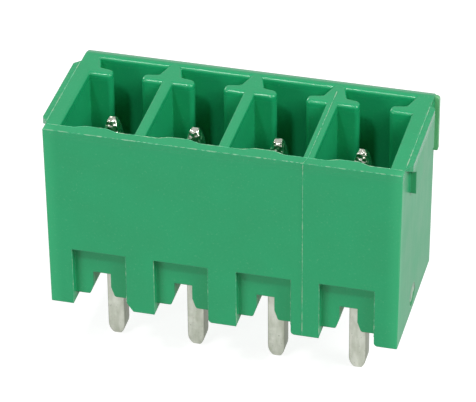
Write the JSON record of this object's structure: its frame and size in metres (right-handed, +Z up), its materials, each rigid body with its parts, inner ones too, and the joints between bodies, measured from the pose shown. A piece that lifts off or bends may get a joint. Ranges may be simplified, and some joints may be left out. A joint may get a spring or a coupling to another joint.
{
  "type": "terminal block header",
  "caption": "Vertical board header with a closed green housing: open cells divided by partitions and T-shaped coding ribs, each with a square pin that ends in a solder tail.",
  "frame": {"origin": "middle of the pin row on the plane of the board, which is the underside of the middle foot", "axes": "+X along the row of contacts, +Y from the notched front wall to the back wall, +Z up from the board to the open cells"},
  "size_m": [0.0168, 0.0072, 0.0125],
  "materials": {
    "moulded_polyamide": "satin moulded",
    "tinned_brass": "tin plated"
  },
  "bodies": {
    "root": {"housing": "moulded_polyamide", "contact_pin_1": "tinned_brass", "contact_pin_2": "tinned_brass", "contact_pin_3": "tinned_brass", "contact_pin_4": "tinned_brass"}
  },
  "joints": []
}
